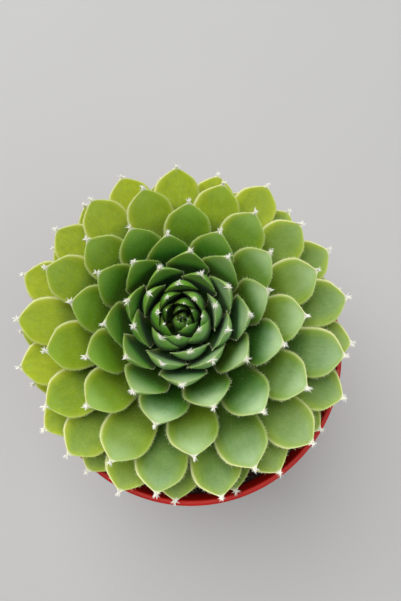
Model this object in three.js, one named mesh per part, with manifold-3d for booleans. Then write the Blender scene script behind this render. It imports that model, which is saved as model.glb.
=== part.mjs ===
// Potted sempervivum: a leaf rosette on a short stem, standing in soil in a round nursery pot.
// Millimetres, +Z up. The origin is the centre of the pot's foot, on the surface it stands on.

import * as THREE from "three";
import { mergeVertices } from "three/addons/utils/BufferGeometryUtils.js";
import Module from "manifold-3d";

const wasm = await Module();
wasm.setup();

// Pot: a 90 mm nursery pot with a band under the rim. It stands on a foot ring and on a flat pad in
// the middle, and the floor between them is lifted, with drainage holes.
const POT_RADIUS = 45;
const POT_HEIGHT = 70;
const POT_SIDES = 60;
const FOOT_RADIUS = 31;
const FOOT_WIDTH = 2.4;
const WALL = 1.1;
const RIM_WIDTH = 1.5;
const BAND_HEIGHT = 10;
const BAND_STEP = 2;
const BAND_DRAFT = 1;
const PAD_RADIUS = 11;
const FLOOR_LIFT = 2.2;
const FLOOR_THICKNESS = 1.2;
const DRAIN_HOLES = 6;
const DRAIN_HOLE_RADIUS = 3.5;
const DRAIN_HOLE_SIDES = 16;
const DRAIN_CIRCLE_RADIUS = 21;

// Soil: fills the pot to a little under the rim, with a plain hole for the stem
const SOIL_DROP = 4.5;
const SOIL_SIDES = 48;
const SOIL_RINGS = 7;
const STEM_RADIUS = 5;
const STEM_DEPTH = 14;
const STEM_SIDES = 14;
const CLEARANCE = 0.3;

// Crumbs on the soil: waves that cross each other, each with its direction and phase
const CRUMB_HEIGHT = 1.1;
const CRUMB_WAVELENGTH = 17;
const CRUMB_FADE = 5.5;
const CRUMB_WAVES = [
  { x: 1, y: 0.35, phase: 0.4 },
  { x: -0.5, y: 1.1, phase: 2.1 },
  { x: 0.8, y: -0.9, phase: 4.4 },
  { x: 1.9, y: 1.3, phase: 1.2 },
];

// Rosette: its axis from the pot's axis at the rim, its lean to the front, and the spiral of the leaves
const ROSETTE_X = -2.1;
const ROSETTE_Y = 4.1;
const ROSETTE_LEAN = THREE.MathUtils.degToRad(3);
const LEAF_COUNT = 104;
const DIVERGENCE = THREE.MathUtils.degToRad(137.41);
const FIRST_AZIMUTH = THREE.MathUtils.degToRad(89.8);
const LEAF_SEED = 343636;
const AZIMUTH_JITTER = THREE.MathUtils.degToRad(2);
const REACH_JITTER = 1;
const SWEEP_JITTER = 0.7;

// Rosette outline, from the youngest leaf to the oldest in equal steps of age:
// distance of the tips from the axis, and their height over the rim
const TIP_PROFILE = [
  [0.5, 18.5],
  [5.4, 27.2],
  [15.3, 28.6],
  [28, 22.4],
  [41.9, 17.2],
  [47.2, 11.8],
  [46.3, 5.8],
];

// Where the leaves leave the stem, youngest and oldest, in the same measures
const YOUNGEST_ROOT = [0.4, 13];
const OLDEST_ROOT = [3.6, -1.5];

// Leaf width and thickness from the youngest leaf to the oldest. The distance from the widest place
// to the tip is a share of the width.
const LEAF_WIDTHS = [1.6, 7.6, 11, 12.8, 13.7, 13.4, 12.6];
const LEAF_THICKNESSES = [1, 2.2, 2.7, 2.7, 2.6, 2.4, 2.1];
const LEAF_END_SHARE = 0.62;

// How far a leaf bows away from the axis, as a share of its length, from the youngest to the oldest
const LEAF_BOWS = [0.2, 0.26, 0.21, 0.1, 0.07, 0.06, 0.05];

// How far the margins stand up, as a share of the half width, from the youngest to the oldest
const LEAF_CUPS = [0.2, 0.12, 0.05, 0.05, 0.06, 0.08, 0.09];

// Young leaves, up to the first age, and less and less up to the second: their ends are narrower and
// thinner by these shares, and their middle line runs along the back, so that the end slopes outward
const YOUNG_AGES = [0.25, 0.6];
const YOUNG_NARROWING = 0.26;
const YOUNG_THINNING = 0.35;

// Sections of a leaf: its body from the root to the widest place, and its end from there to the tip.
// along is the share of that way, and the others are shares of the leaf's width, thickness and cup.
const BODY_SECTIONS = [
  { along: 0, wide: 0.34, thick: 0.6, cup: 0.6 },
  { along: 0.5, wide: 0.6, thick: 0.85, cup: 1 },
  { along: 1, wide: 1, thick: 1, cup: 1 },
];
const END_SECTIONS = [
  { along: 0.42, wide: 0.86, thick: 0.9, cup: 1.2 },
  { along: 0.75, wide: 0.4, thick: 0.62, cup: 1.5 },
  { along: 0.88, wide: 0.12, thick: 0.36, cup: 1.5 },
];

// Facets of a leaf's back beside its keel, as shares of the half width and of the thickness
const FACET_ACROSS = 0.55;
const FACET_DEPTH = 0.6;

// Core that the leaf roots sink into: radius and height over the rim, from the stem up
const CORE_PROFILE = [
  [STEM_RADIUS, -3.5],
  [7.6, -1],
  [7, 5],
  [3, 11],
];
const CORE_TOP = 13;
const CORE_SIDES = 10;

// Corners closer than this are one corner, and cutters reach this far past what they cut
const MERGE_DISTANCE = 1e-4;
const CUT_MARGIN = 1;

// Step of the repeatable random numbers: state = factor * state + increment, in 32 bits
const RANDOM_FACTOR = 1664525;
const RANDOM_INCREMENT = 1013904223;
const RANDOM_HALF = 2 ** 31;

// The plant's own frame: its axis leans a little, and height 0 is the level of the rim
const plant = new THREE.Group();
plant.position.set(ROSETTE_X, ROSETTE_Y, POT_HEIGHT);
plant.rotation.x = ROSETTE_LEAN;
plant.updateMatrix();

const potMaterial = new THREE.MeshStandardMaterial({ color: 0x9c2a17, roughness: 0.45, metalness: 0 });
const soilMaterial = new THREE.MeshStandardMaterial({ color: 0x1d1712, roughness: 0.95, metalness: 0 });
const leafMaterial = new THREE.MeshStandardMaterial({ color: 0x6f9430, roughness: 0.5, metalness: 0 });

// A solid from a closed geometry: shared corners merged, collapsed triangles left out
function solidOf(geometry) {
  const bare = geometry.clone();
  bare.deleteAttribute("normal");
  bare.deleteAttribute("uv");
  const merged = mergeVertices(bare, MERGE_DISTANCE);
  const corners = merged.index.array;
  const kept = [];
  for (let i = 0; i < corners.length; i += 3) {
    const [a, b, c] = corners.slice(i, i + 3);
    if (a !== b && b !== c && c !== a) {
      kept.push(a, b, c);
    }
  }
  return new wasm.Manifold(new wasm.Mesh({
    numProp: 3,
    vertProperties: new Float32Array(merged.attributes.position.array),
    triVerts: new Uint32Array(kept),
  }));
}

function geometryFrom(positions, triangles) {
  const geometry = new THREE.BufferGeometry();
  geometry.setAttribute("position", new THREE.Float32BufferAttribute(positions, 3));
  geometry.setIndex(triangles);
  return geometry;
}

function geometryOf(solid) {
  const mesh = solid.getMesh();
  return geometryFrom(Array.from(mesh.vertProperties), Array.from(mesh.triVerts));
}

// Volume enclosed by a list of triangles, from the signed volumes of their tetrahedra
function volumeOf(positions, triangles) {
  const at = (i) => new THREE.Vector3().fromArray(positions, 3 * i);
  let volume = 0;
  for (let i = 0; i < triangles.length; i += 3) {
    volume += at(triangles[i]).dot(at(triangles[i + 1]).cross(at(triangles[i + 2]))) / 6;
  }
  return volume;
}

// The largest of a geometry's separate shells. The others are hollows sealed by the joining,
// which are filled by leaving their skins out, and loose scraps.
function largestShell(geometry) {
  const triangles = geometry.index.array;
  const positions = geometry.attributes.position.array;
  const leader = Array.from({ length: positions.length / 3 }, (_, i) => i);
  const find = (i) => {
    let root = i;
    while (leader[root] !== root) {
      leader[root] = leader[leader[root]];
      root = leader[root];
    }
    return root;
  };
  for (let i = 0; i < triangles.length; i += 3) {
    leader[find(triangles[i + 1])] = find(triangles[i]);
    leader[find(triangles[i + 2])] = find(triangles[i]);
  }
  const shells = new Map();
  for (let i = 0; i < triangles.length; i += 3) {
    const shell = find(triangles[i]);
    if (!shells.has(shell)) {
      shells.set(shell, []);
    }
    shells.get(shell).push(triangles[i], triangles[i + 1], triangles[i + 2]);
  }
  const bySize = [...shells.values()].sort((a, b) => volumeOf(positions, b) - volumeOf(positions, a));
  return geometryFrom(Array.from(positions), bySize[0]);
}

// A closed body turned round the Z axis from [radius, height] points that start and end on it
function turned(profile, sides) {
  const points = profile.map(([radius, height]) => new THREE.Vector2(radius, height));
  return new THREE.LatheGeometry(points, sides).rotateX(Math.PI / 2);
}

function cylinder(radius, bottom, top, sides) {
  return turned([[0, bottom], [radius, bottom], [radius, top], [0, top]], sides);
}

// Pot wall: where the band starts, the outer radius there, and the outer radius of the cone below it
const bandBottom = POT_HEIGHT - BAND_HEIGHT;
const bandBottomRadius = POT_RADIUS - BAND_DRAFT;
const coneTopRadius = bandBottomRadius - BAND_STEP;
const floorTop = FLOOR_LIFT + FLOOR_THICKNESS;

function coneRadius(height) {
  return THREE.MathUtils.mapLinear(height, 0, bandBottom, FOOT_RADIUS, coneTopRadius);
}

// Top of the pot's floor from the axis to the wall, moved up and inward by a clearance
function potFloor(clearance) {
  return [
    [0, FLOOR_THICKNESS + clearance],
    [PAD_RADIUS, FLOOR_THICKNESS + clearance],
    [PAD_RADIUS + FLOOR_LIFT, floorTop + clearance],
    [coneRadius(floorTop) - WALL - clearance, floorTop + clearance],
  ];
}

// Inside of the pot's wall from under the band up to the rim, moved inward by a clearance
function potWall(clearance) {
  return [
    [coneTopRadius - WALL - clearance, bandBottom - WALL],
    [bandBottomRadius - RIM_WIDTH - clearance, bandBottom + WALL],
    [POT_RADIUS - RIM_WIDTH - clearance, POT_HEIGHT],
  ];
}

function buildPot() {
  const profile = [
    [0, 0],
    [PAD_RADIUS, 0],
    [PAD_RADIUS + FLOOR_LIFT, FLOOR_LIFT],
    [FOOT_RADIUS - FOOT_WIDTH, FLOOR_LIFT],
    [FOOT_RADIUS - FOOT_WIDTH, 0],
    [FOOT_RADIUS, 0],
    [coneTopRadius, bandBottom],
    [bandBottomRadius, bandBottom],
    [POT_RADIUS, POT_HEIGHT],
    ...potWall(0).reverse(),
    ...potFloor(0).reverse(),
  ];
  let pot = solidOf(turned(profile, POT_SIDES));
  for (let i = 0; i < DRAIN_HOLES; i += 1) {
    const angle = (2 * Math.PI * (i + 0.5)) / DRAIN_HOLES;
    const hole = cylinder(DRAIN_HOLE_RADIUS, -CUT_MARGIN, floorTop + CUT_MARGIN, DRAIN_HOLE_SIDES);
    hole.translate(DRAIN_CIRCLE_RADIUS * Math.cos(angle), DRAIN_CIRCLE_RADIUS * Math.sin(angle), 0);
    pot = pot.subtract(solidOf(hole));
  }
  return geometryOf(pot);
}

// Height of the soil's crumbs at a place, fading out towards the wall and the stem
function crumbHeight(x, y, edge) {
  const turn = (2 * Math.PI) / CRUMB_WAVELENGTH;
  const waves = CRUMB_WAVES.map((wave) => Math.sin(turn * (wave.x * x + wave.y * y) + wave.phase));
  const sum = waves.reduce((total, wave) => total + wave, 0);
  const fromStem = Math.hypot(x - ROSETTE_X, y - ROSETTE_Y) - 2 * STEM_RADIUS;
  const fromEdge = edge - Math.hypot(x, y);
  const fade = THREE.MathUtils.clamp(Math.min(fromEdge, fromStem) / CRUMB_FADE, 0, 1);
  return (CRUMB_HEIGHT * fade * sum) / CRUMB_WAVES.length;
}

function buildSoil() {
  const soilTop = POT_HEIGHT - SOIL_DROP;
  const [underBand, band, rim] = potWall(CLEARANCE);
  const edge = THREE.MathUtils.mapLinear(soilTop, band[1], rim[1], band[0], rim[0]);
  const profile = [...potFloor(CLEARANCE), underBand, band];
  for (let ring = 0; ring <= SOIL_RINGS; ring += 1) {
    profile.push([edge * (1 - ring / SOIL_RINGS), soilTop]);
  }
  const body = turned(profile, SOIL_SIDES);
  const points = body.attributes.position;
  for (let i = 0; i < points.count; i += 1) {
    if (points.getZ(i) > soilTop - CLEARANCE) {
      points.setZ(i, soilTop + crumbHeight(points.getX(i), points.getY(i), edge));
    }
  }
  const hole = cylinder(STEM_RADIUS + CLEARANCE, -SOIL_DROP - STEM_DEPTH, 0, STEM_SIDES);
  hole.applyMatrix4(plant.matrix);
  return geometryOf(solidOf(body).subtract(solidOf(hole)));
}

// Repeatable random numbers from -1 to 1
function seededRandom(seed) {
  let state = seed;
  return () => {
    state = (Math.imul(state, RANDOM_FACTOR) + RANDOM_INCREMENT) >>> 0;
    return state / RANDOM_HALF - 1;
  };
}

// Value at an age from 0 to 1, along a smooth line through evenly spaced values
function alongAges(values, age) {
  const line = new THREE.SplineCurve(values.map((value, i) => new THREE.Vector2(i, value)));
  return line.getPoint(age).y;
}

const tipLine = new THREE.SplineCurve(TIP_PROFILE.map(([out, up]) => new THREE.Vector2(out, up)));

// Middle line of a leaf in the upright plane of its azimuth: x is out from the axis, y is up.
// reach moves its tip further out.
function leafMiddleLine(age, reach) {
  const tip = tipLine.getPoint(age).add(new THREE.Vector2(reach, 0));
  const root = new THREE.Vector2(...YOUNGEST_ROOT).lerp(new THREE.Vector2(...OLDEST_ROOT), age);
  const chord = tip.clone().sub(root);
  const away = new THREE.Vector2(chord.y, -chord.x);
  const bow = 2 * alongAges(LEAF_BOWS, age);
  const middle = root.clone().addScaledVector(chord, 0.5).addScaledVector(away, bow);
  return new THREE.QuadraticBezierCurve(root, middle, tip);
}

// Corners of a leaf's section: margin, hollow upper face, margin, then the back with its keel.
// upper is the height of the upper face over the middle line.
function leafSection(halfWidth, thickness, cup, upper) {
  return [
    [-halfWidth, upper + cup * halfWidth],
    [0, upper],
    [halfWidth, upper + cup * halfWidth],
    [FACET_ACROSS * halfWidth, upper - FACET_DEPTH * thickness],
    [0, upper - thickness],
    [-FACET_ACROSS * halfWidth, upper - FACET_DEPTH * thickness],
  ];
}

// Closed skin over rings of the same number of corners, flat at the first and pointed at the last
function loft(rings, point) {
  const size = rings[0].length;
  const last = rings.length - 1;
  const triangles = [];
  for (let ring = 0; ring < last; ring += 1) {
    for (let i = 0; i < size; i += 1) {
      const a = ring * size + i;
      const b = ring * size + ((i + 1) % size);
      triangles.push(a, a + size, b, b, a + size, b + size);
    }
  }
  for (let i = 1; i < size - 1; i += 1) {
    triangles.push(0, i, i + 1);
  }
  for (let i = 0; i < size; i += 1) {
    triangles.push(last * size + i, rings.length * size, last * size + ((i + 1) % size));
  }
  const corners = [...rings.flat(), point];
  return geometryFrom(corners.flatMap((corner) => corner.toArray()), triangles);
}

// One leaf: a blade lofted on its middle line, turned to its azimuth. sweep bends it to one side.
function buildLeaf(age, azimuth, reach, sweep) {
  const line = leafMiddleLine(age, reach);
  const width = alongAges(LEAF_WIDTHS, age);
  const thickness = alongAges(LEAF_THICKNESSES, age);
  const leafCup = alongAges(LEAF_CUPS, age);
  const young = 1 - THREE.MathUtils.smoothstep(age, ...YOUNG_AGES);
  const endWidth = width * (1 - YOUNG_NARROWING * young);
  const endThickness = thickness * (1 - YOUNG_THINNING * young);
  const widest = 1 - (LEAF_END_SHARE * width) / line.getLength();
  const out = new THREE.Vector3(Math.cos(azimuth), Math.sin(azimuth), 0);
  const side = new THREE.Vector3(-Math.sin(azimuth), Math.cos(azimuth), 0);
  const up = new THREE.Vector3(0, 0, 1);
  const place = (share, across, raise) => {
    const middle = line.getPointAt(share);
    const slope = line.getTangentAt(share);
    const bend = sweep * 4 * share * (1 - share);
    return new THREE.Vector3()
      .addScaledVector(out, middle.x - raise * slope.y)
      .addScaledVector(up, middle.y + raise * slope.x)
      .addScaledVector(side, across + bend);
  };
  const ring = (share, fullWidth, fullThickness, { wide, thick, cup }) => {
    const deep = thick * fullThickness;
    const section = leafSection((wide * fullWidth) / 2, deep, cup * leafCup, young * deep);
    return section.map(([across, raise]) => place(share, across, raise));
  };
  const bodyRings = BODY_SECTIONS.map((section) => {
    return ring(widest * section.along, width, thickness, section);
  });
  const endRings = END_SECTIONS.map((section) => {
    return ring(widest + (1 - widest) * section.along, endWidth, endThickness, section);
  });
  return loft([...bodyRings, ...endRings], place(1, 0, 0));
}

function buildRosette() {
  const stem = cylinder(STEM_RADIUS, CLEARANCE - SOIL_DROP - STEM_DEPTH, -SOIL_DROP, STEM_SIDES);
  const core = turned([[0, CORE_PROFILE[0][1]], ...CORE_PROFILE, [0, CORE_TOP]], CORE_SIDES);
  let rosette = solidOf(stem).add(solidOf(core));
  const random = seededRandom(LEAF_SEED);
  for (let leaf = 0; leaf < LEAF_COUNT; leaf += 1) {
    const age = leaf / (LEAF_COUNT - 1);
    const azimuth = FIRST_AZIMUTH + leaf * DIVERGENCE + AZIMUTH_JITTER * random();
    const reach = REACH_JITTER * random();
    const sweep = SWEEP_JITTER * random();
    rosette = rosette.add(solidOf(buildLeaf(age, azimuth, reach, sweep)));
  }
  return largestShell(geometryOf(rosette));
}

function named(name, geometry, material) {
  const mesh = new THREE.Mesh(geometry, material);
  mesh.name = name;
  return mesh;
}

const pottedSempervivum = new THREE.Group();
plant.add(named("rosette", buildRosette(), leafMaterial));
pottedSempervivum.add(named("pot", buildPot(), potMaterial));
pottedSempervivum.add(named("soil", buildSoil(), soilMaterial));
pottedSempervivum.add(plant);

export default pottedSempervivum;
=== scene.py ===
import math

import bpy
import numpy as np
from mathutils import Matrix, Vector, noise


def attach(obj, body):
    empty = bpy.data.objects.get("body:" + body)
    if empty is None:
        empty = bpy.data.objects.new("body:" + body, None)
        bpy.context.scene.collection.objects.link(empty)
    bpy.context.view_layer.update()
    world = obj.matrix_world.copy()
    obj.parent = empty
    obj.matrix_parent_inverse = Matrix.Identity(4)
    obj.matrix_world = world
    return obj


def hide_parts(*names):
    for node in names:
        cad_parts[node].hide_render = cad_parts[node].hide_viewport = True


# Looks of the potted sempervivum. The solids give its form: here the leaves get smooth blades, pale
# margins and hairs, the pot its moulded edges, and the soil its crumbs. Sizes are in millimetres,
# and each mesh is scaled to metres when it is made.

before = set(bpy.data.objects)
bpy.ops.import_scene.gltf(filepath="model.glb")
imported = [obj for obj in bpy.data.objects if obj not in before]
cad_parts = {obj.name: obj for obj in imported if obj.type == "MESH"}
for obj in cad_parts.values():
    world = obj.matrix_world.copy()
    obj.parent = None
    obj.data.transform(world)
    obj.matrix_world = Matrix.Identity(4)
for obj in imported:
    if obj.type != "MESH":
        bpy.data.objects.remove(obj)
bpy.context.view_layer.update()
MM = 0.001

# Pot
POT_RADIUS = 45
POT_HEIGHT = 70
FOOT_RADIUS = 31
FOOT_WIDTH = 2.4
WALL = 1.1
RIM_WIDTH = 1.5
BAND_HEIGHT = 10
BAND_STEP = 2
BAND_DRAFT = 1
PAD_RADIUS = 11
FLOOR_LIFT = 2.2
FLOOR_THICKNESS = 1.2
DRAIN_HOLES = 6
DRAIN_HOLE_RADIUS = 3.5
DRAIN_CIRCLE_RADIUS = 21
POT_SIDES = 168
POT_FILLET = 0.6
DRILL_SIDES = 40
DRILL_MARGIN = 1
SHARP_ANGLE = math.radians(40)

# Arcs on the edges of the pot and the stem: points on each, and the largest share of an edge they take
FILLET_STEPS = 5
FILLET_REACH = 0.45

# Soil, and the stem that stands in it
SOIL_DROP = 4.5
SOIL_SIDES = 150
SOIL_RINGS = 46
STEM_RADIUS = 5
STEM_DEPTH = 14
STEM_SIDES = 64
STEM_FILLET = 0.5
CLEARANCE = 0.3

# Relief of the soil's top: broad waves, each with its direction and phase, and fine lumps of peat
CRUMB_HEIGHT = 1.1
CRUMB_WAVELENGTH = 17
CRUMB_FADE = 5.5
CRUMB_WAVES = [(1, 0.35, 0.4), (-0.5, 1.1, 2.1), (0.8, -0.9, 4.4), (1.9, 1.3, 1.2)]
PEAT_HEIGHT = 0.35
PEAT_FREQUENCY = 0.55
PEAT_ROUGHNESS = 0.6
PEAT_STEP = 2.1
PEAT_LAYERS = 4

# Loose crumbs and white grains on the soil. A lump's dents are a share of its size.
SOIL_SEED = 11
CRUMB_COUNT = 620
CRUMB_SIZES = (0.7, 3)
CRUMB_DENTS = 0.7
GRAIN_COUNT = 170
GRAIN_SIZES = (0.35, 1.2)
GRAIN_DENTS = 0.5
LUMP_SIZE_POWER = 2.2
LUMP_INNER_RADIUS = 12
LUMP_FLATNESS = (0.55, 0.95)
LUMP_STRETCH = (0.75, 1.35)
LUMP_LIFT = 0.15
DENT_FREQUENCY = 1.7
DENT_STEP = 3.1

# Rosette: its axis, its lean to the front, and the spiral of the leaves
ROSETTE_X = -2.1
ROSETTE_Y = 4.1
ROSETTE_LEAN = math.radians(3)
LEAF_COUNT = 104
DIVERGENCE = math.radians(137.41)
FIRST_AZIMUTH = math.radians(89.8)
LEAF_SEED = 343636
AZIMUTH_JITTER = math.radians(2)
REACH_JITTER = 1
SWEEP_JITTER = 0.7
TIP_PROFILE = [(0.5, 18.5), (5.4, 27.2), (15.3, 28.6), (28, 22.4), (41.9, 17.2), (47.2, 11.8), (46.3, 5.8)]
YOUNGEST_ROOT = (0.4, 13)
OLDEST_ROOT = (3.6, -1.5)
LEAF_WIDTHS = [1.6, 7.6, 11, 12.8, 13.7, 13.4, 12.6]
LEAF_THICKNESSES = [1, 2.2, 2.7, 2.7, 2.6, 2.4, 2.1]
LEAF_END_SHARE = 0.62
LEAF_BOWS = [0.2, 0.26, 0.21, 0.1, 0.07, 0.06, 0.05]
LEAF_CUPS = [0.2, 0.12, 0.05, 0.05, 0.06, 0.08, 0.09]
YOUNG_AGES = (0.25, 0.6)
YOUNG_NARROWING = 0.26
YOUNG_THINNING = 0.35
CORE_PROFILE = [(0, -3.5), (STEM_RADIUS, -3.5), (7.6, -1), (7, 5), (3, 11), (0, 13)]

# Sections of a leaf from the root to the widest place, and from there to the tip: share of the way,
# and shares of the leaf's width, thickness and cup
BODY_SECTIONS = [(0, 0.34, 0.6, 0.6), (0.5, 0.6, 0.85, 1), (1, 1, 1, 1)]
END_SECTIONS = [(0.42, 0.86, 0.9, 1.2), (0.75, 0.4, 0.62, 1.5), (0.88, 0.12, 0.4, 1.5),
                (0.94, 0.06, 0.3, 1.5), (1, 0.025, 0.12, 1.5)]
LEAF_ROWS = 32
LEAF_COLUMNS = 24
ROW_CROWDING = 1.6
MARGIN_ROUNDNESS = 1.6

# Length of each leaf that its inner neighbours leave free, by age, and where the shade on the rest begins
# and is full, in shares of that length
LEAF_FREE_LENGTHS = [1, 3.2, 6, 8.6, 11, 12.5, 13]
SHADE_EDGE = (0.8, 1.3)

# Side of the window, as an angle round the pot from +X
SUN_AZIMUTH = math.radians(140)

# Step of the repeatable random numbers that the leaves are placed with
RANDOM_FACTOR = 1664525
RANDOM_INCREMENT = 1013904223
RANDOM_RANGE = 2**32

# Hairs: thin spikes, narrower at the place where they bend
HAIR_SEED = 7
HAIR_SIDES = 3
HAIR_BEND = 0.55
HAIR_TAPER = 0.7
SLOPE_STEP = 0.01

# Hairs on the margins: the part of the leaf that they stand on, their lean to the tip, and their length,
# which is greater on the side away from the window
CILIUM_YOUNGEST = 0.22
CILIUM_SPACING = 0.42
CILIUM_ROW = 0.8
CILIUM_START = 0.2
CILIUM_REACH = 0.76
CILIUM_RADIUS = 0.05
CILIUM_LEAN = 0.6
CILIUM_SCATTER = 0.25
CILIUM_LENGTH = 0.5
CILIUM_LENGTHS = (0.4, 1.3)
CILIUM_NEAR_SIDE = 0.7
CILIUM_FAR_SIDE = 0.5
CILIUM_SIDE_EDGE = (-0.2, 0.9)

# Tuft on the point of each leaf, smaller in the heart
TUFT_HAIRS = 18
TUFT_PLACE = 0.985
TUFT_SMALLEST = 0.1
TUFT_AGES = (0.06, 0.24)
TUFT_LENGTH = 1.35
TUFT_LENGTHS = (0.5, 1.25)
TUFT_RADIUS = 0.135
TUFT_LEAN = 1.3
TUFT_SPREAD = 0.9
TUFT_FLATNESS = (1, 1, 0.6)
TUFT_DROOP = 0.08

# Camera, from the photograph's perspective
IMAGE_HEIGHT = 601
FOCAL_PIXELS = 402
CAMERA_PLACE = (2.6, -19.2, 189.9)
CAMERA_PITCH = math.radians(15)
CAMERA_SENSOR = 36
CAMERA_NEAR = 5

# Studio, in metres and watts: floor, two square softboxes that face the plant, and a pale surround
FLOOR_REACH = 2.5
SOFTBOX_SIZE = 1.4
SOFTBOX_TARGET = (0, 0, 0.08)
WINDOW_PLACE = (-0.34, 0.44, 1.2)
WINDOW_POWER = 26
WINDOW_TONE = (1.0, 0.99, 0.97)
FILL_PLACE = (0.85, -0.4, 0.9)
FILL_POWER = 7
FILL_TONE = (0.97, 0.98, 1.0)
SURROUND_TONE = (0.93, 0.95, 1.0, 1)
SURROUND_STRENGTH = 0.18


def seeded_random(seed):
    """Repeatable numbers from -1 to 1."""
    state = seed
    while True:
        state = (RANDOM_FACTOR * state + RANDOM_INCREMENT) % RANDOM_RANGE
        yield 2 * state / RANDOM_RANGE - 1


def smooth_line(values, share):
    """Point at a share of a smooth line through evenly spaced values."""
    points = np.asarray(values, float)
    place = (len(points) - 1) * share
    i = min(int(place), len(points) - 2)
    t = place - i
    before, a, b, after = points[max(i - 1, 0)], points[i], points[i + 1], points[min(i + 2, len(points) - 1)]
    v, w = (b - before) / 2, (after - a) / 2
    return (2 * a - 2 * b + v + w) * t**3 + (3 * b - 3 * a - 2 * v - w) * t**2 + v * t + a


def smooth_through(knots, values, places):
    """Smooth curve through the knots that never overshoots them, at the given places."""
    knots, values = np.asarray(knots, float), np.asarray(values, float)
    steps = np.diff(knots)
    rises = np.diff(values) / steps
    slopes = np.zeros(len(knots))
    slopes[0], slopes[-1] = rises[0], rises[-1]
    for i in range(1, len(knots) - 1):
        if rises[i - 1] * rises[i] > 0:
            slopes[i] = 2 / (1 / rises[i - 1] + 1 / rises[i])
    i = np.clip(np.searchsorted(knots, places, side="right") - 1, 0, len(steps) - 1)
    t = (places - knots[i]) / steps[i]
    start = (1 + 2 * t) * (1 - t) ** 2 * values[i] + t * (1 - t) ** 2 * steps[i] * slopes[i]
    end = t**2 * (3 - 2 * t) * values[i + 1] + t**2 * (t - 1) * steps[i] * slopes[i + 1]
    return start + end


def smooth_step(low, high, value):
    """0 below low, 1 above high, and smooth in between."""
    t = np.clip((value - low) / (high - low), 0, 1)
    return t * t * (3 - 2 * t)


def plant_to_row(points):
    """From the plant's leaning frame to the row frame."""
    x, y, z = np.asarray(points, float).T
    c, s = math.cos(ROSETTE_LEAN), math.sin(ROSETTE_LEAN)
    return np.stack([x + ROSETTE_X, c * y - s * z + ROSETTE_Y, s * y + c * z + POT_HEIGHT], axis=1)


def make_piece(name, points, faces, material, replaced=None, attributes=None, smooth=True):
    """A piece of the object from points in millimetres."""
    mesh = bpy.data.meshes.new(name)
    mesh.from_pydata((np.asarray(points) * MM).tolist(), [], faces)
    for key, values in (attributes or {}).items():
        mesh.attributes.new(key, "FLOAT", "POINT").data.foreach_set("value", np.asarray(values, np.float32))
    if smooth:
        mesh.shade_smooth()
    mesh.materials.append(material)
    piece = bpy.data.objects.new(name, mesh)
    bpy.context.scene.collection.objects.link(piece)
    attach(piece, "root")
    if replaced:
        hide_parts(replaced)
    return piece


# Leaves


class LeafLine:
    """Middle line of a leaf in the upright plane of its azimuth, measured by its length."""

    DIVISIONS = 200

    def __init__(self, age, reach):
        tip = smooth_line(TIP_PROFILE, age) + [reach, 0]
        root = (1 - age) * np.array(YOUNGEST_ROOT) + age * np.array(OLDEST_ROOT)
        chord = tip - root
        away = np.array([chord[1], -chord[0]])
        bow = 2 * smooth_line(LEAF_BOWS, age)
        self.root, self.middle, self.tip = root, root + chord / 2 + bow * away, tip
        self.steps = np.linspace(0, 1, self.DIVISIONS + 1)
        pieces = np.linalg.norm(np.diff(self.point(self.steps), axis=0), axis=1)
        self.lengths = np.concatenate([[0], np.cumsum(pieces)])
        self.length = self.lengths[-1]

    def point(self, t):
        t = np.asarray(t)[:, None]
        return (1 - t) ** 2 * self.root + 2 * t * (1 - t) * self.middle + t**2 * self.tip

    def at(self, shares):
        """Points and unit slopes at shares of the length."""
        t = np.interp(np.asarray(shares) * self.length, self.lengths, self.steps)
        slope = 2 * (1 - t)[:, None] * (self.middle - self.root) + 2 * t[:, None] * (self.tip - self.middle)
        return self.point(t), slope / np.linalg.norm(slope, axis=1, keepdims=True)


class Leaf:
    """One leaf: its outline, and places on it in the plant's frame."""

    def __init__(self, number, azimuth, reach, sweep):
        self.azimuth, self.sweep = azimuth, sweep
        self.age = number / (LEAF_COUNT - 1)
        self.line = LeafLine(self.age, reach)
        self.width = smooth_line(LEAF_WIDTHS, self.age)
        self.thickness = smooth_line(LEAF_THICKNESSES, self.age)
        self.young = 1 - smooth_step(*YOUNG_AGES, self.age)
        self.cup = smooth_line(LEAF_CUPS, self.age)
        widest = 1 - LEAF_END_SHARE * self.width / self.line.length
        body = [(widest * along, *rest) for along, *rest in BODY_SECTIONS]
        end = [(widest + (1 - widest) * along, *rest) for along, *rest in END_SECTIONS]
        self.knots, *self.profiles = np.array(body + end).T
        wide, thick, _ = self.profiles
        wide[len(body):] *= 1 - YOUNG_NARROWING * self.young
        thick[len(body):] *= 1 - YOUNG_THINNING * self.young

    def section(self, shares):
        """Half width, thickness and cup at shares of the length."""
        wide, thick, cup = (smooth_through(self.knots, profile, shares) for profile in self.profiles)
        return wide * self.width / 2, thick * self.thickness, cup * self.cup

    def place(self, shares, across, raised):
        middle, slope = self.line.at(shares)
        sideways = across + self.sweep * 4 * shares * (1 - shares)
        out = middle[:, 0] - raised * slope[:, 1]
        up = middle[:, 1] + raised * slope[:, 0]
        c, s = math.cos(self.azimuth), math.sin(self.azimuth)
        return np.stack([out * c - sideways * s, out * s + sideways * c, up], axis=1)

    def surface(self, shares, angles):
        """Skin at shares of the length and angles round the section: 0 and 180 degrees are the margins,
        and the angles between them are the upper face."""
        half, thick, cup = self.section(shares)
        across = half * np.cos(angles)
        belly = thick / 2 * np.sin(angles) * np.abs(np.sin(angles)) ** (MARGIN_ROUNDNESS - 1)
        lowest = (2 * self.young - 1) * thick / 2
        raised = lowest + (cup * half + thick / 2) * np.cos(angles) ** 2 + belly
        return self.place(shares, across, raised)


def grow_leaves():
    random = seeded_random(LEAF_SEED)
    leaves = []
    for number in range(LEAF_COUNT):
        azimuth = FIRST_AZIMUTH + number * DIVERGENCE + AZIMUTH_JITTER * next(random)
        reach = REACH_JITTER * next(random)
        leaves.append(Leaf(number, azimuth, reach, SWEEP_JITTER * next(random)))
    return leaves


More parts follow.
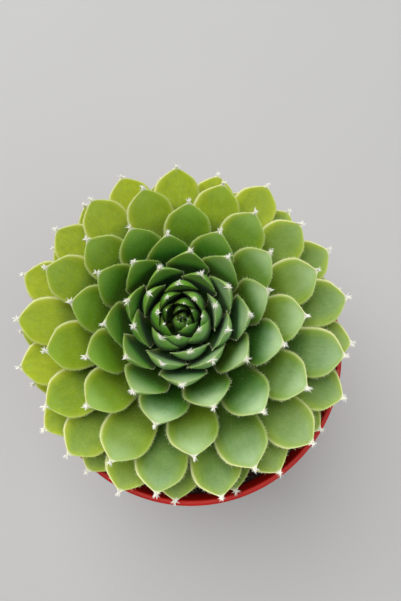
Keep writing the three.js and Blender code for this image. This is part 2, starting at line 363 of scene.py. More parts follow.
def leaf_skin(leaf):
    """Points, faces and shader values of one leaf."""
    rows = 1 - (1 - np.linspace(0, 1, LEAF_ROWS)) ** ROW_CROWDING
    columns = 2 * np.pi * np.arange(LEAF_COLUMNS) / LEAF_COLUMNS
    shares, angles = (grid.ravel() for grid in np.meshgrid(rows, columns, indexing="ij"))
    points = leaf.surface(shares, angles)
    faces = []
    for row in range(LEAF_ROWS - 1):
        for i in range(LEAF_COLUMNS):
            a, b = row * LEAF_COLUMNS + i, row * LEAF_COLUMNS + (i + 1) % LEAF_COLUMNS
            faces.append((a, a + LEAF_COLUMNS, b + LEAF_COLUMNS, b))
    last = (LEAF_ROWS - 1) * LEAF_COLUMNS
    faces.append(tuple(range(LEAF_COLUMNS)))
    faces.append(tuple(range(last + LEAF_COLUMNS - 1, last - 1, -1)))
    return points, faces, leaf_values(leaf, shares, angles)


def leaf_values(leaf, shares, angles):
    """What the leaf's material needs to know at each point of its skin."""
    half, _, _ = leaf.section(shares)
    across = np.cos(angles)
    from_tip = (1 - shares) * leaf.line.length
    to_sun = SUN_AZIMUTH - leaf.azimuth
    return {
        "leaf_age": np.full(len(shares), leaf.age),
        "leaf_shade": smooth_step(*SHADE_EDGE, from_tip / smooth_line(LEAF_FREE_LENGTHS, leaf.age)),
        "leaf_along": shares,
        "leaf_from_tip": from_tip,
        "leaf_across": half * across,
        "leaf_from_margin": half * (1 - np.abs(across)),
        "leaf_lit_side": (1 + across * math.sin(to_sun)) / 2,
        "leaf_upper": (1 + np.sin(angles)) / 2,
        "leaf_tint": np.full(len(shares), noise.random()),
        "leaf_sun": np.full(len(shares), (1 + math.cos(to_sun)) / 2),
    }


def join_skins(skins):
    """Several skins of (points, faces, values) as one."""
    points, faces, values, first = [], [], {}, 0
    for some_points, some_faces, some_values in skins:
        faces += [tuple(first + i for i in face) for face in some_faces]
        first += len(some_points)
        points.append(some_points)
        for key, value in some_values.items():
            values.setdefault(key, []).append(value)
    return np.concatenate(points), faces, {key: np.concatenate(value) for key, value in values.items()}


def turned(profile, sides, centres=None):
    """Closed skin of rings round the Z axis, from (radius, height) points that start and end on it.
    centres gives each ring a middle of its own."""
    angles = 2 * np.pi * np.arange(sides) / sides
    circle = np.stack([np.cos(angles), np.sin(angles)], axis=1)
    centres = np.zeros((len(profile), 2)) if centres is None else np.asarray(centres, float)
    ends = [[*centres[end], profile[end][1]] for end in (0, -1)]
    rings = [np.column_stack([centre + radius * circle, np.full(sides, height)])
             for centre, (radius, height) in zip(centres[1:-1], profile[1:-1])]
    points = np.concatenate([*rings, ends])
    count = len(rings)
    bottom, top = count * sides, count * sides + 1
    faces = []
    for i in range(sides):
        j = (i + 1) % sides
        faces.append((bottom, j, i))
        for ring in range(count - 1):
            a, b = ring * sides + i, ring * sides + j
            faces.append((a, b, b + sides, a + sides))
        faces.append(((count - 1) * sides + i, (count - 1) * sides + j, top))
    return points, faces


def rounded(profile, radius):
    """A profile with its corners turned into arcs. Its ends stay as they are."""
    points = [np.array(profile[0], float)]
    for before, corner, after in zip(profile, profile[1:], profile[2:]):
        before, corner, after = (np.array(p, float) for p in (before, corner, after))
        back, ahead = before - corner, after - corner
        reach = min(radius, FILLET_REACH * np.linalg.norm(back), FILLET_REACH * np.linalg.norm(ahead))
        start = corner + back / np.linalg.norm(back) * reach
        end = corner + ahead / np.linalg.norm(ahead) * reach
        for t in np.linspace(0, 1, FILLET_STEPS):
            points.append((1 - t) ** 2 * start + 2 * t * (1 - t) * corner + t**2 * end)
    points.append(np.array(profile[-1], float))
    return [tuple(p) for p in points]


# Hairs


def spikes(bases, directions, lengths, radius, droop=0.0):
    """Thin closed hairs. droop bends their ends down, as a share of their length."""
    bases, directions = np.asarray(bases, float), np.asarray(directions, float)
    directions = directions / np.linalg.norm(directions, axis=1, keepdims=True)
    helper = np.where(np.abs(directions[:, 2:]) < 0.9, [[0, 0, 1.0]], [[1.0, 0, 0]])
    u = np.cross(directions, helper)
    u /= np.linalg.norm(u, axis=1, keepdims=True)
    v = np.cross(directions, u)
    lengths = np.asarray(lengths, float)[:, None]
    middle = bases + HAIR_BEND * lengths * directions
    tip = bases + lengths * directions
    tip[:, 2] -= droop * lengths[:, 0]
    corners = []
    for centre, thickness in ((bases, radius), (middle, HAIR_TAPER * radius)):
        for turn in range(HAIR_SIDES):
            angle = 2 * math.pi * turn / HAIR_SIDES
            corners.append(centre + thickness * (math.cos(angle) * u + math.sin(angle) * v))
    points = np.stack([*corners, tip], axis=1).reshape(-1, 3)
    top = len(corners)
    around = [(i, (i + 1) % HAIR_SIDES) for i in range(HAIR_SIDES)]
    pattern = [tuple(range(HAIR_SIDES))[::-1]]
    pattern += [(i, j, HAIR_SIDES + j, HAIR_SIDES + i) for i, j in around]
    pattern += [(HAIR_SIDES + i, HAIR_SIDES + j, top) for i, j in around]
    faces = [tuple((top + 1) * hair + i for i in face) for hair in range(len(bases)) for face in pattern]
    return points, faces


def margin_hairs(leaves, random):
    """Short hairs along both margins of all but the youngest leaves, leaning to the tip."""
    bases, directions, lengths = [], [], []
    for leaf in leaves:
        if leaf.age < CILIUM_YOUNGEST:
            continue
        count = int(leaf.line.length * CILIUM_ROW / CILIUM_SPACING)
        far_side = smooth_step(*CILIUM_SIDE_EDGE, -math.cos(leaf.azimuth - SUN_AZIMUTH))
        usual = CILIUM_LENGTH * (CILIUM_NEAR_SIDE + CILIUM_FAR_SIDE * far_side)
        for margin in (0, np.pi):
            shares = CILIUM_START + CILIUM_REACH * (np.arange(count) + random.random(count)) / count
            angles = np.full(count, float(margin))
            base = leaf.surface(shares, angles)
            ahead = leaf.surface(shares + SLOPE_STEP, angles) - base
            inward = leaf.surface(shares, np.full(count, np.pi / 2)) - base
            ahead /= np.linalg.norm(ahead, axis=1, keepdims=True)
            inward /= np.linalg.norm(inward, axis=1, keepdims=True)
            scatter = random.normal(0, CILIUM_SCATTER, (count, 3))
            bases.append(base)
            directions.append(CILIUM_LEAN * ahead - inward + scatter)
            lengths.append(usual * random.uniform(*CILIUM_LENGTHS, count))
    return spikes(np.concatenate(bases), np.concatenate(directions), np.concatenate(lengths), CILIUM_RADIUS)


def tip_tufts(leaves, random):
    """A star of soft hairs on the point of every leaf."""
    bases, directions, lengths = [], [], []
    for leaf in leaves:
        share, middle = np.array([TUFT_PLACE]), np.array([np.pi / 2])
        base = leaf.surface(share, middle)
        ahead = leaf.surface(share + SLOPE_STEP, middle) - base
        ahead /= np.linalg.norm(ahead)
        size = TUFT_SMALLEST + (1 - TUFT_SMALLEST) * smooth_step(*TUFT_AGES, leaf.age)
        for _ in range(TUFT_HAIRS):
            scatter = random.normal(0, TUFT_SPREAD, 3) * TUFT_FLATNESS
            bases.append(base[0])
            directions.append(TUFT_LEAN * ahead[0] + scatter)
            lengths.append(size * TUFT_LENGTH * random.uniform(*TUFT_LENGTHS))
    return spikes(bases, directions, lengths, TUFT_RADIUS, TUFT_DROOP)


# Pot


def band_bottom():
    return POT_HEIGHT - BAND_HEIGHT


def cone_radius(height):
    top = POT_RADIUS - BAND_DRAFT - BAND_STEP
    return FOOT_RADIUS + (top - FOOT_RADIUS) * height / band_bottom()


def pot_floor(clearance):
    """Top of the pot's floor from the axis to the wall, moved up and inward by a clearance."""
    top = FLOOR_LIFT + FLOOR_THICKNESS
    return [
        (0, FLOOR_THICKNESS + clearance),
        (PAD_RADIUS, FLOOR_THICKNESS + clearance),
        (PAD_RADIUS + FLOOR_LIFT, top + clearance),
        (cone_radius(top) - WALL - clearance, top + clearance),
    ]


def pot_wall(clearance):
    """Inside of the pot's wall from under the band up to the rim, moved inward by a clearance."""
    band = POT_RADIUS - BAND_DRAFT
    return [
        (band - BAND_STEP - WALL - clearance, band_bottom() - WALL),
        (band - RIM_WIDTH - clearance, band_bottom() + WALL),
        (POT_RADIUS - RIM_WIDTH - clearance, POT_HEIGHT),
    ]


def build_pot(material):
    outside = [
        (0, 0),
        (PAD_RADIUS, 0),
        (PAD_RADIUS + FLOOR_LIFT, FLOOR_LIFT),
        (FOOT_RADIUS - FOOT_WIDTH, FLOOR_LIFT),
        (FOOT_RADIUS - FOOT_WIDTH, 0),
        (FOOT_RADIUS, 0),
        (POT_RADIUS - BAND_DRAFT - BAND_STEP, band_bottom()),
        (POT_RADIUS - BAND_DRAFT, band_bottom()),
        (POT_RADIUS, POT_HEIGHT),
    ]
    profile = rounded(outside + pot_wall(0)[::-1] + pot_floor(0)[::-1], POT_FILLET)
    points, faces = turned(profile, POT_SIDES)
    pot = make_piece("pot_shell", points, faces, material, "pot")
    drill(pot)
    pot.data.set_sharp_from_angle(angle=SHARP_ANGLE)
    return pot


def drill(pot):
    """Cuts the drainage holes through the floor."""
    low, high = -DRILL_MARGIN, FLOOR_LIFT + FLOOR_THICKNESS + DRILL_MARGIN
    drill_profile = [(0, low), (DRAIN_HOLE_RADIUS, low), (DRAIN_HOLE_RADIUS, high), (0, high)]
    drill_points, drill_faces = turned(drill_profile, DRILL_SIDES)
    skins = []
    for i in range(DRAIN_HOLES):
        angle = 2 * math.pi * (i + 0.5) / DRAIN_HOLES
        place = [DRAIN_CIRCLE_RADIUS * math.cos(angle), DRAIN_CIRCLE_RADIUS * math.sin(angle), 0]
        skins.append((drill_points + place, drill_faces, {}))
    points, faces, _ = join_skins(skins)
    mesh = bpy.data.meshes.new("drills")
    mesh.from_pydata((points * MM).tolist(), [], faces)
    drills = bpy.data.objects.new("drills", mesh)
    bpy.context.scene.collection.objects.link(drills)
    cut = pot.modifiers.new("drain", "BOOLEAN")
    cut.operation = "DIFFERENCE"
    cut.solver = "EXACT"
    cut.object = drills
    bpy.context.view_layer.update()
    drilled = bpy.data.meshes.new_from_object(pot.evaluated_get(bpy.context.evaluated_depsgraph_get()))
    pot.modifiers.clear()
    pot.data = drilled
    bpy.data.objects.remove(drills)


# Soil


def soil_top():
    return POT_HEIGHT - SOIL_DROP


def soil_edge():
    """Radius of the soil's top where it meets the wall."""
    _, (low_radius, low), (high_radius, high) = pot_wall(CLEARANCE)
    return low_radius + (high_radius - low_radius) * (soil_top() - low) / (high - low)


def crumb_height(x, y):
    """Height of the soil over its level: broad waves, and fine lumps of peat on them."""
    turn = 2 * math.pi / CRUMB_WAVELENGTH
    waves = sum(math.sin(turn * (a * x + b * y) + phase) for a, b, phase in CRUMB_WAVES)
    from_stem = math.hypot(x - ROSETTE_X, y - ROSETTE_Y) - 2 * STEM_RADIUS
    from_edge = soil_edge() - math.hypot(x, y)
    fade = min(max(min(from_edge, from_stem) / CRUMB_FADE, 0), 1)
    peat = noise.fractal(Vector((x, y, 0)) * PEAT_FREQUENCY, PEAT_ROUGHNESS, PEAT_STEP, PEAT_LAYERS)
    lumps = PEAT_HEIGHT * peat * min(max(from_edge, 0), 1)
    return CRUMB_HEIGHT * fade * waves / len(CRUMB_WAVES) + lumps


def build_soil(material):
    hole = STEM_RADIUS + CLEARANCE
    hole_bottom = soil_top() - STEM_DEPTH
    profile = pot_floor(CLEARANCE) + pot_wall(CLEARANCE)[:2] + [(soil_edge(), soil_top())]
    centres = [(0, 0)] * len(profile)
    top = []
    for ring in range(1, SOIL_RINGS + 1):
        share = ring / SOIL_RINGS
        top.append(((1 - share) * soil_edge() + share * hole, soil_top()))
        centres.append((share * ROSETTE_X, share * ROSETTE_Y))
    lean = math.sin(ROSETTE_LEAN) * (STEM_DEPTH + SOIL_DROP)
    profile += top + [(hole, hole_bottom), (0, hole_bottom)]
    centres += [(ROSETTE_X, ROSETTE_Y + lean)] * 2
    points, faces = turned(profile, SOIL_SIDES, centres)
    on_top = np.abs(points[:, 2] - soil_top()) < CLEARANCE
    for i in np.flatnonzero(on_top):
        points[i, 2] += crumb_height(points[i, 0], points[i, 1])
    return make_piece("soil_bed", points, faces, material, "soil")


# Crumbs and grains


def ball():
    """Corners and faces of a ball: twenty triangles, each split into four."""
    golden = (1 + math.sqrt(5)) / 2
    corners = [(-1, golden, 0), (1, golden, 0), (-1, -golden, 0), (1, -golden, 0),
               (0, -1, golden), (0, 1, golden), (0, -1, -golden), (0, 1, -golden),
               (golden, 0, -1), (golden, 0, 1), (-golden, 0, -1), (-golden, 0, 1)]
    sides = [(0, 11, 5), (0, 5, 1), (0, 1, 7), (0, 7, 10), (0, 10, 11), (1, 5, 9), (5, 11, 4),
             (11, 10, 2), (10, 7, 6), (7, 1, 8), (3, 9, 4), (3, 4, 2), (3, 2, 6), (3, 6, 8),
             (3, 8, 9), (4, 9, 5), (2, 4, 11), (6, 2, 10), (8, 6, 7), (9, 8, 1)]
    points = [Vector(corner).normalized() for corner in corners]
    halves, split = {}, []

    def half(i, j):
        key = (min(i, j), max(i, j))
        if key not in halves:
            halves[key] = len(points)
            points.append((points[i] + points[j]).normalized())
        return halves[key]

    for a, b, c in sides:
        ab, bc, ca = half(a, b), half(b, c), half(c, a)
        split += [(a, ab, ca), (b, bc, ab), (c, ca, bc), (ab, bc, ca)]
    return points, split


def lump(sphere, number, dents, size, flatness, turn, stretch):
    """Corners of a dented, stretched and flattened ball, turned round the vertical."""
    c, s = math.cos(turn), math.sin(turn)
    points = []
    for p in sphere:
        dent = 1 + dents * noise.noise(p * DENT_FREQUENCY + Vector((number * DENT_STEP, 0, 0)))
        a, b = p.x * stretch * dent, p.y / stretch * dent
        points.append((c * a - s * b, s * a + c * b, flatness * p.z * dent))
    return size / 2 * np.array(points)


def scattered_lumps(count, sizes, dents, random):
    """Dented lumps that lie on the soil between the stem and the wall, most of them small."""
    sphere, sides = ball()
    smallest, largest = sizes
    skins = []
    for number in range(count):
        size = smallest + (largest - smallest) * random.random() ** LUMP_SIZE_POWER
        away = math.sqrt(random.uniform(LUMP_INNER_RADIUS**2, (soil_edge() - size) ** 2))
        angle = random.uniform(0, 2 * math.pi)
        x, y = away * math.cos(angle), away * math.sin(angle)
        flatness = random.uniform(*LUMP_FLATNESS)
        turn = random.uniform(0, 2 * math.pi)
        stretch = random.uniform(*LUMP_STRETCH)
        points = lump(sphere, number, dents, size, flatness, turn, stretch)
        height = soil_top() + crumb_height(x, y) + LUMP_LIFT * size
        skins.append((points + [x, y, height], sides, {}))
    points, faces, _ = join_skins(skins)
    return points, faces


# Materials


class Paint:
    """A new material's node tree, with short calls for the nodes that the looks are made of."""

    # Places of the sockets on the node that mixes two colours
    MIX_SHARE, MIX_FIRST, MIX_SECOND, MIX_RESULT = 0, 6, 7, 2

    def __init__(self, name):
        self.material = bpy.data.materials.new(name)
        self.material.use_nodes = True
        self.tree = self.material.node_tree
        self.surface = self.tree.nodes["Principled BSDF"]

    def node(self, kind, inputs, **settings):
        node = self.tree.nodes.new(kind)
        for key, value in settings.items():
            setattr(node, key, value)
        for key, value in inputs.items():
            self.feed(node.inputs[key], value)
        return node

    def feed(self, socket, value):
        if isinstance(value, bpy.types.NodeSocket):
            self.tree.links.new(value, socket)
        else:
            socket.default_value = value

    def finish(self, **inputs):
        for key, value in inputs.items():
            self.feed(self.surface.inputs[key.replace("_", " ")], value)
        return self.material

    def attribute(self, name):
        return self.node("ShaderNodeAttribute", {}, attribute_name=name).outputs["Fac"]

    def between(self, value, low, high, start=0.0, end=1.0):
        """start where the value is at or under low, end at or over high, smooth between."""
        node = self.node("ShaderNodeMapRange", {}, interpolation_type="SMOOTHSTEP")
        for socket, number in zip(node.inputs, (value, low, high, start, end)):
            self.feed(socket, number)
        return node.outputs["Result"]

    def math(self, operation, first, second):
        node = self.node("ShaderNodeMath", {0: first, 1: second}, operation=operation)
        return node.outputs["Value"]

    def product(self, first, *others):
        for other in others:
            first = self.math("MULTIPLY", first, other)
        return first

    def total(self, first, second):
        return self.math("ADD", first, second)

    def noise(self, place, scale, detail, roughness=0.5):
        inputs = {"Vector": place, "Scale": scale, "Detail": detail, "Roughness": roughness}
        return self.node("ShaderNodeTexNoise", inputs).outputs["Fac"]

    def grain(self, size, detail=2.0, roughness=0.5):
        """Noise whose lumps are about this many millimetres across, from 0 to 1."""
        place = self.node("ShaderNodeTexCoord", {}).outputs["Object"]
        return self.noise(place, 1 / (size * MM), detail, roughness)

    def mix(self, share, first, second):
        inputs = {self.MIX_SHARE: share, self.MIX_FIRST: first, self.MIX_SECOND: second}
        return self.node("ShaderNodeMix", inputs, data_type="RGBA").outputs[self.MIX_RESULT]

    def bump(self, height, distance, strength):
        """Shading of small relief. distance is in millimetres."""
        inputs = {"Height": height, "Distance": distance * MM, "Strength": strength}
        return self.node("ShaderNodeBump", inputs).outputs["Normal"]


def light_share(number):
    """Share of the full light for a colour number from 0 to 255."""
    share = number / 255
    return share / 12.92 if share <= 0.04045 else ((share + 0.055) / 1.055) ** 2.4


def colour(*numbers):
    """Shader colour from the usual 0 to 255 numbers for red, green and blue."""
    return (*(light_share(number) for number in numbers), 1)


# Tones of the leaves: by age from the heart outwards, and then what lies over them
# The heart's near-black green is painted shade deep in the middle of the rosette
HEART_SHADE_GREEN = colour(8, 22, 3)
INNER_GREEN = colour(28, 104, 10)
MIDDLE_GREEN = colour(46, 114, 8)
OUTER_LIME = colour(166, 178, 0)
BACK_GREEN = colour(82, 154, 18)
BLADE_GREEN = colour(60, 102, 18)
# Pale tone of the velvety specks, and of the painted sheen where the leaves reflect the window
SPECK_AND_SHEEN_PALE = colour(166, 190, 158)
# Painted shade where the inner neighbours cover a leaf: deepest on the young leaves, lighter on the old
SHADE_DEEP_GREEN = colour(12, 40, 3)
SHADE_BASE_GREEN = colour(46, 84, 0)
# Painted light at the ends of young leaves: green towards the window, paler away from it
LIT_END_GREEN = colour(162, 204, 84)
LIT_END_PALE = colour(186, 214, 158)
# Halo tones are painted glow along the margins; the margin tones are the margins' own pale colour
HALO_GREEN = colour(150, 168, 62)
HALO_LIME = colour(186, 190, 52)
MARGIN_GREEN = colour(132, 164, 76)
MARGIN_CREAM = colour(224, 224, 166)
CUSP_WHITE = colour(232, 228, 208)

# How strong each tone is. The first two numbers are where its ramp begins and ends, the other two its
# strength at these places, 0 and 1 where they are left out. Age runs from 0 in the heart to 1 for the
# oldest leaf, sun from 0 away from the window to 1 towards it, and length from the root to the tip.
# Distances from the margin and the tip are in millimetres.
INNER_BY_AGE = (0.08, 0.2)
MIDDLE_BY_AGE = (0.12, 0.5)
LIME_BY_AGE = (0.38, 0.85)
# Outer leaves are lime; towards the window more so, as painted glow of light coming through them
LIME_GLOW_BY_SUN = (0.1, 0.8, 0.52, 1)
BACK_BY_FACE = (0.5, 0.3, 0, 0.75)
BLADE_BY_MARGIN = (0.6, 4)
BLADE_BY_LENGTH = (0.5, 0.85)
BLADE_BY_AGE = (0.3, 0.7)
BLADE_BY_SUN = (0.85, 0.3, 0.06, 0.6)
# Painted sheen: a reflection of the window on the leaves on its far side
SHEEN_BY_SUN = (0.65, 0.1, 0.06, 1)
SHEEN_BY_LENGTH = (0.62, 0.95)
SHEEN_OF_YOUNG = (0.15, 0.45, 0.4, 1)
SHEEN_OF_OLD = (0.85, 0.42, 0.1, 0.85)
SHEEN_BY_MARGIN = (0.3, 3.4, 0.15, 1)
SHEEN_BY_CLOUD = (0.2, 0.7, 0.5, 1)
# Tone and strength of the painted shade on covered leaf parts
SHADE_TONE_BY_AGE = (0.3, 0.9)
SHADE_STRENGTH = 0.78
MOTTLE = (0.3, 0.7, 0, 0.2)
VELVET = (0.5, 0.72, 0, 0.13)
FIBRES = (0.35, 0.7, 0, 0.14)
YELLOWING_BY_TINT = (0, 1, 0, 0.2)
YELLOWING_BY_AGE = (0.2, 0.6)
# Where the painted light at the leaf ends lies, and how strong it is
END_BY_TIP = (7, 1.2)
END_BY_FACE = (0.4, 0.7, 0.4, 1)
END_OF_YOUNG = (0.1, 0.25)
END_OF_OLD = (0.8, 0.42, 0.12, 0.78)
END_BY_SUN = (0.9, 0.2, 0.6, 1.1)
PALE_END_BY_SUN = (0.75, 0.25)
# Margins that face the window get more of the halo and the pale rim: painted highlight
LIT_BY_SIDE = (0.15, 0.9, 0.25, 1)
HALO_BY_MARGIN = (2.6, 0)
HALO_BY_AGE = (0.2, 0.75, 0.15, 0.58)
LIME_HALO_BY_SUN = (0.1, 0.7)
RIM_BY_MARGIN = (1, 0)
RIM_BY_AGE = (0.1, 0.6, 0.2, 0.9)
CREAM_BY_AGE = (0.2, 0.8)
CUSP_BY_TIP = (1.6, 0.5)
CUSP_BY_AGE = (0.09, 0.3, 0.04, 1)

# Fibres: their number for each millimetre across, how much longer than wide they are, and how far apart
# the patterns of two leaves lie
FIBRE_SCALE = 2.6
FIBRE_STRETCH = 0.12
FIBRE_SHIFT = 40


class LeafPaint(Paint):
    """Paint for the leaves, with the values that their points carry."""

    def __init__(self, name):
        super().__init__(name)
        self.age = self.attribute("leaf_age")
        self.sun = self.attribute("leaf_sun")
        self.shade = self.attribute("leaf_shade")
        self.tint = self.attribute("leaf_tint")
        self.along = self.attribute("leaf_along")
        self.across = self.attribute("leaf_across")
        self.from_tip = self.attribute("leaf_from_tip")
        self.from_margin = self.attribute("leaf_from_margin")
        self.lit_side = self.attribute("leaf_lit_side")
        self.upper = self.attribute("leaf_upper")

    def greens(self):
        """Green by age, from the heart's painted shade outwards, limier towards the window as painted glow of
        light through the leaves, with a light back and a deeper middle of the blade.
        """
        look = self.mix(self.between(self.age, *INNER_BY_AGE), HEART_SHADE_GREEN, INNER_GREEN)
        look = self.mix(self.between(self.age, *MIDDLE_BY_AGE), look, MIDDLE_GREEN)
        # Lime of the outer leaves, with painted glow towards the window
        lime_and_glow = self.product(self.between(self.age, *LIME_BY_AGE), self.between(self.sun, *LIME_GLOW_BY_SUN))
        look = self.mix(lime_and_glow, look, OUTER_LIME)
        look = self.mix(self.between(self.upper, *BACK_BY_FACE), look, BACK_GREEN)
        blade = self.product(
            self.between(self.from_margin, *BLADE_BY_MARGIN),
            self.between(self.along, *BLADE_BY_LENGTH),
            self.between(self.age, *BLADE_BY_AGE),
            self.between(self.sun, *BLADE_BY_SUN),
        )
        return self.mix(blade, look, BLADE_GREEN)

    def painted_sheen(self, look):
        """Painted sheen: a cloudy pale reflection of the window on the outer half of the blades that are
        turned from the window.
        """
        share = self.product(
            self.between(self.sun, *SHEEN_BY_SUN),
            self.between(self.along, *SHEEN_BY_LENGTH),
            self.between(self.age, *SHEEN_OF_YOUNG),
            self.between(self.age, *SHEEN_OF_OLD),
            self.between(self.from_margin, *SHEEN_BY_MARGIN),
            self.between(self.grain(size=5, detail=3), *SHEEN_BY_CLOUD),
        )
        return self.mix(share, look, SPECK_AND_SHEEN_PALE)

    def shaded(self, look):
        """Painted shade: deep green where the inner neighbours cover the leaf."""
        tone = self.mix(self.between(self.age, *SHADE_TONE_BY_AGE), SHADE_DEEP_GREEN, SHADE_BASE_GREEN)
        return self.mix(self.product(self.shade, SHADE_STRENGTH), look, tone)

    def fibres(self):
        """Fine noise drawn out along the leaf, from 0 to 1."""
        inputs = {
            "X": self.across,
            "Y": self.product(self.from_tip, FIBRE_STRETCH),
            "Z": self.product(self.tint, FIBRE_SHIFT),
        }
        place = self.node("ShaderNodeCombineXYZ", inputs).outputs["Vector"]
        return self.noise(place, FIBRE_SCALE, detail=2)

    def grained(self, look):
        """Green mottle, velvety pale specks and fibres, and some leaves yellower than others."""
        mottle = self.grain(size=1.6, detail=4, roughness=0.6)
        look = self.mix(self.between(mottle, *MOTTLE), look, INNER_GREEN)
        look = self.mix(self.between(self.grain(size=0.4), *VELVET), look, SPECK_AND_SHEEN_PALE)
        look = self.mix(self.between(self.fibres(), *FIBRES), look, INNER_GREEN)
        yellowing = self.product(
            self.between(self.tint, *YELLOWING_BY_TINT),
            self.between(self.age, *YELLOWING_BY_AGE),
        )
        return self.mix(yellowing, look, OUTER_LIME)

    def lit_end(self, look):
        """Painted light at the end of a young leaf, where light comes through the tip."""
        share = self.product(
            self.between(self.from_tip, *END_BY_TIP),
            self.between(self.upper, *END_BY_FACE),
            self.between(self.age, *END_OF_YOUNG),
            self.between(self.sun, *END_BY_SUN),
            self.between(self.age, *END_OF_OLD),
        )
        return self.mix(share, look, self.mix(self.between(self.sun, *PALE_END_BY_SUN), LIT_END_GREEN, LIT_END_PALE))

    def margined(self, look):
        """Painted glow along the margin, and the pale margin itself, which is the margin's own colour; both
        are stronger on the side at the window, as painted highlight.
        """
        lit = self.between(self.lit_side, *LIT_BY_SIDE)
        glow_tone = self.mix(self.between(self.sun, *LIME_HALO_BY_SUN), HALO_GREEN, HALO_LIME)
        painted_glow = self.product(
            self.between(self.from_margin, *HALO_BY_MARGIN),
            self.between(self.age, *HALO_BY_AGE),
            lit,
        )
        pale = self.mix(self.between(self.age, *CREAM_BY_AGE), MARGIN_GREEN, MARGIN_CREAM)
        rim_and_highlight = self.product(
            self.between(self.from_margin, *RIM_BY_MARGIN),
            self.between(self.age, *RIM_BY_AGE),
            lit,
        )
        return self.mix(rim_and_highlight, self.mix(painted_glow, look, glow_tone), pale)

    def cusped(self, look):
        """White point."""
        share = self.product(
            self.between(self.from_tip, *CUSP_BY_TIP),
            self.between(self.age, *CUSP_BY_AGE),
        )
        return self.mix(share, look, CUSP_WHITE)


def leaf_material():
    paint = LeafPaint("sempervivum_leaf")
    look = paint.grained(paint.shaded(paint.painted_sheen(paint.greens())))
    look = paint.cusped(paint.margined(paint.lit_end(look)))
    skin = paint.total(paint.product(paint.grain(size=0.7, detail=3), 0.6), paint.grain(size=4))
    gloss = paint.grain(size=2.5, detail=3)
    return paint.finish(
        Base_Color=look,
        Roughness=paint.between(gloss, low=0.3, high=0.7, start=0.4, end=0.52),
        Normal=paint.bump(skin, distance=0.25, strength=0.35),
        Subsurface_Weight=0.4,
        Subsurface_Radius=(1.0, 1.15, 0.2),
        Subsurface_Scale=1.1 * MM,
        Specular_IOR_Level=0.3,
        Sheen_Weight=0.05,
        Sheen_Roughness=0.4,
    )


def hair_material(name, tone, light_tone):
    paint = Paint(name)
    return paint.finish(
        Base_Color=paint.mix(paint.grain(size=3), tone, light_tone),
        Roughness=0.5,
        Subsurface_Weight=0.3,
        Subsurface_Radius=(1, 1, 0.8),
        Subsurface_Scale=0.3 * MM,
    )


def margin_hair_material():
    return hair_material("margin_hair", colour(182, 196, 128), colour(216, 222, 180))


def tuft_hair_material():
    return hair_material("tuft_hair", colour(236, 236, 216), colour(252, 252, 246))


def pot_material():
    """Brick red plastic with faint clouds and dust."""
    paint = Paint("brick_red_plastic")
    clouds = paint.between(paint.grain(size=22, detail=3), low=0.35, high=0.7)
    look = paint.mix(clouds, colour(170, 18, 4), colour(186, 24, 6))
    dust = paint.between(paint.grain(size=1.3, detail=6, roughness=0.7), low=0.6, high=0.78, end=0.35)
    look = paint.mix(dust, look, colour(150, 84, 62))
    relief = paint.total(paint.grain(size=0.5), paint.product(paint.grain(size=9), 0.5))
    gloss = paint.grain(size=6, detail=4)
    return paint.finish(
        Base_Color=look,
        Roughness=paint.between(gloss, low=0.3, high=0.7, start=0.38, end=0.56),
        Normal=paint.bump(relief, distance=0.06, strength=0.4),
        Specular_IOR_Level=0.3,
    )


def soil_material():
    """Nearly black peat with a few brown flecks."""
    paint = Paint("dark_peat")
    peat = paint.between(paint.grain(size=1.2, detail=5, roughness=0.7), low=0.35, high=0.7)
    look = paint.mix(peat, colour(20, 12, 9), colour(54, 38, 27))
    flecks = paint.between(paint.grain(size=0.5), low=0.68, high=0.76)
    look = paint.mix(flecks, look, colour(112, 90, 66))
    relief = paint.total(paint.grain(size=1, detail=5, roughness=0.7), paint.grain(size=3.5))
    return paint.finish(
        Base_Color=look,
        Roughness=paint.between(paint.grain(size=4), low=0.3, high=0.7, start=0.8, end=0.98),
        Normal=paint.bump(relief, distance=0.9, strength=0.8),
        Specular_IOR_Level=0.3,
    )


def grain_material():
    """Chalky white grains."""
    paint = Paint("white_soil_grain")
    share = paint.between(paint.grain(size=0.8, detail=3), low=0.35, high=0.7)
    return paint.finish(
        Base_Color=paint.mix(share, colour(205, 196, 180), colour(238, 234, 226)),
        Roughness=0.85,
        Normal=paint.bump(paint.grain(size=0.3), distance=0.15, strength=0.6),
    )


def floor_material():
    paint = Paint("plain_pale_floor")
    look = paint.mix(paint.grain(size=180), colour(170, 170, 170), colour(176, 176, 175))
    return paint.finish(Base_Color=look, Roughness=0.7, Specular_IOR_Level=0.2)


# Scene


# Values that give the stem and core the heart's deep green and full painted shade, away from every tip and
# margin
STEM_VALUES = {"leaf_age": -0.2, "leaf_sun": 1, "leaf_shade": 1, "leaf_along": 1, "leaf_from_tip": 20,
               "leaf_from_margin": 5}


def build_leaves(leaves, material):
    noise.seed_set(LEAF_SEED)
    points, faces, values = join_skins([leaf_skin(leaf) for leaf in leaves])
    make_piece("rosette_leaves", plant_to_row(points), faces, material, "rosette", values)


def build_hairs(leaves):
    random = np.random.default_rng(HAIR_SEED)
    pale, white = margin_hair_material(), tuft_hair_material()
    points, faces = margin_hairs(leaves, random)
    make_piece("leaf_margin_hairs", plant_to_row(points), faces, pale, smooth=False)
    points, faces = tip_tufts(leaves, random)
    make_piece("leaf_tip_tufts", plant_to_row(points), faces, white, smooth=False)


def build_stem(material):
    bottom = -SOIL_DROP - STEM_DEPTH + CLEARANCE
    profile = [(0, bottom), (STEM_RADIUS, bottom), *CORE_PROFILE[1:]]
    points, faces = turned(rounded(profile, STEM_FILLET), STEM_SIDES)
    values = {key: np.full(len(points), float(value)) for key, value in STEM_VALUES.items()}
    make_piece("rosette_stem", plant_to_row(points), faces, material, attributes=values)


def build_plant():
    leaves = grow_leaves()
    green = leaf_material()
    build_leaves(leaves, green)
    build_hairs(leaves)
    build_stem(green)


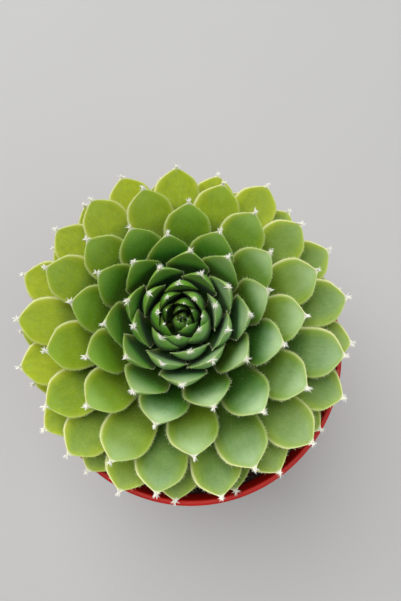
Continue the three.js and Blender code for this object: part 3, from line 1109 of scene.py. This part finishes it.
def build_ground():
    random = np.random.default_rng(SOIL_SEED)
    noise.seed_set(SOIL_SEED)
    dark = soil_material()
    build_soil(dark)
    points, faces = scattered_lumps(CRUMB_COUNT, CRUMB_SIZES, CRUMB_DENTS, random)
    make_piece("soil_crumbs", points, faces, dark)
    points, faces = scattered_lumps(GRAIN_COUNT, GRAIN_SIZES, GRAIN_DENTS, random)
    make_piece("soil_white_grains", points, faces, grain_material())


def build_floor():
    r = FLOOR_REACH
    mesh = bpy.data.meshes.new("floor")
    mesh.from_pydata([(-r, -r, 0), (r, -r, 0), (r, r, 0), (-r, r, 0)], [], [(0, 1, 2, 3)])
    mesh.materials.append(floor_material())
    floor = bpy.data.objects.new("floor", mesh)
    bpy.context.scene.collection.objects.link(floor)


def softbox(name, place, power, tone):
    light = bpy.data.lights.new(name, "AREA")
    light.size = SOFTBOX_SIZE
    light.energy = power
    light.color = tone
    lamp = bpy.data.objects.new(name, light)
    lamp.location = place
    lamp.rotation_euler = (Vector(SOFTBOX_TARGET) - Vector(place)).to_track_quat("-Z", "Y").to_euler()
    bpy.context.scene.collection.objects.link(lamp)


def build_lights():
    softbox("window_softbox", WINDOW_PLACE, WINDOW_POWER, WINDOW_TONE)
    softbox("fill_softbox", FILL_PLACE, FILL_POWER, FILL_TONE)
    world = bpy.data.worlds.new("pale_studio")
    world.use_nodes = True
    surround = world.node_tree.nodes["Background"]
    surround.inputs["Color"].default_value = SURROUND_TONE
    surround.inputs["Strength"].default_value = SURROUND_STRENGTH
    bpy.context.scene.world = world
    bpy.context.scene.view_settings.view_transform = "Standard"


def build_camera():
    data = bpy.data.cameras.new("camera")
    data.sensor_fit = "VERTICAL"
    data.sensor_height = CAMERA_SENSOR
    data.lens = FOCAL_PIXELS * CAMERA_SENSOR / IMAGE_HEIGHT
    data.clip_start = CAMERA_NEAR * MM
    camera = bpy.data.objects.new("camera", data)
    camera.location = Vector(CAMERA_PLACE) * MM
    camera.rotation_euler = (CAMERA_PITCH, 0, 0)
    bpy.context.scene.collection.objects.link(camera)
    bpy.context.scene.camera = camera


build_pot(pot_material())
build_ground()
build_plant()
build_floor()
build_lights()
build_camera()
